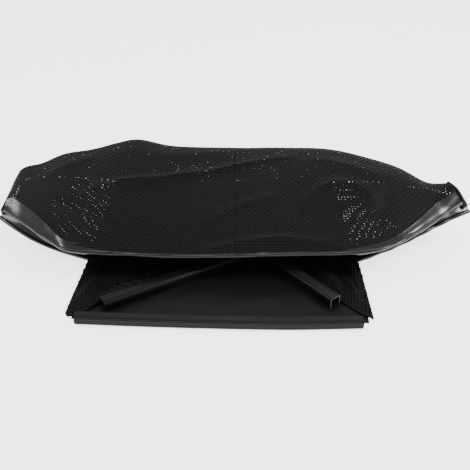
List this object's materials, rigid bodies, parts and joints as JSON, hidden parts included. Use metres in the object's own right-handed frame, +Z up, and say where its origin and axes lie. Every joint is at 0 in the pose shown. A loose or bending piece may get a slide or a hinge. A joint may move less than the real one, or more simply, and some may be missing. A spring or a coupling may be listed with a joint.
{
  "type": "grass catcher bag",
  "caption": "Black mesh grass catcher bag lying collapsed: vinyl floor, clip-on plastic channels on the mouth, folded mesh sides and a hemmed upper layer.",
  "frame": {"origin": "middle of the bounding box at ground level, under the bag", "axes": "+Z up; +X along the wide way of the mouth; -Y is the mouth side with the front channel"},
  "size_m": [0.6844, 0.401, 0.1042],
  "materials": {
    "mesh_cloth": "open square mesh, matt",
    "vinyl_sheet": "satin coated vinyl",
    "vinyl_hem": "glossy coated vinyl",
    "channel_plastic": "satin extruded plastic",
    "welt_cord": "satin",
    "seam_tape": "woven tape, matt",
    "thread": "matt"
  },
  "bodies": {
    "base": {"floor_panel": "vinyl_sheet", "left_gusset": "mesh_cloth", "right_gusset": "mesh_cloth", "left_lower_mesh": "mesh_cloth", "left_lower_hem": "vinyl_hem", "left_lower_bead": "welt_cord", "left_lower_stitches": "thread", "right_lower_mesh": "mesh_cloth", "right_lower_hem": "vinyl_hem", "right_lower_bead": "welt_cord", "right_lower_stitches": "thread", "left_side_tape": "seam_tape", "right_side_tape": "seam_tape", "rear_seam_tape": "seam_tape"},
    "front_channel": {"front_binding": "channel_plastic", "front_binding_stitches": "thread"},
    "left_channel": {"left_binding": "channel_plastic", "left_binding_stitches": "thread"},
    "right_channel": {"right_binding": "channel_plastic", "right_binding_stitches": "thread"},
    "upper_layer": {"upper_mesh": "mesh_cloth", "rear_mesh": "mesh_cloth", "upper_hem": "vinyl_hem", "upper_bead": "welt_cord", "upper_hem_stitches": "thread"}
  },
  "joints": [
    {"name": "mouth_lift", "type": "hinge", "parent": "base", "child": "upper_layer", "pos_m": [0, 0.19619, 0.004], "axis": [-1, 0, 0], "range_deg": [0, 20]},
    {"name": "left_channel_swing", "type": "hinge", "parent": "base", "child": "left_channel", "pos_m": [-0.17051, -0.15631, 0.0019], "axis": [0.5225, -0.8526, 0], "range_deg": [0, 25]},
    {"name": "right_channel_swing", "type": "hinge", "parent": "base", "child": "right_channel", "pos_m": [0.12849, -0.15131, 0.0019], "axis": [0.788, 0.6157, 0], "range_deg": [0, 25]},
    {"name": "front_channel_fold", "type": "hinge", "parent": "base", "child": "front_channel", "pos_m": [0, -0.17641, 0.0008], "axis": [-1, 0, 0], "range_deg": [0, 25]}
  ],
  "couplings": [
    {"joint": "left_channel_swing", "follows": "mouth_lift", "ratio": 1.25},
    {"joint": "right_channel_swing", "follows": "mouth_lift", "ratio": 1.25}
  ]
}
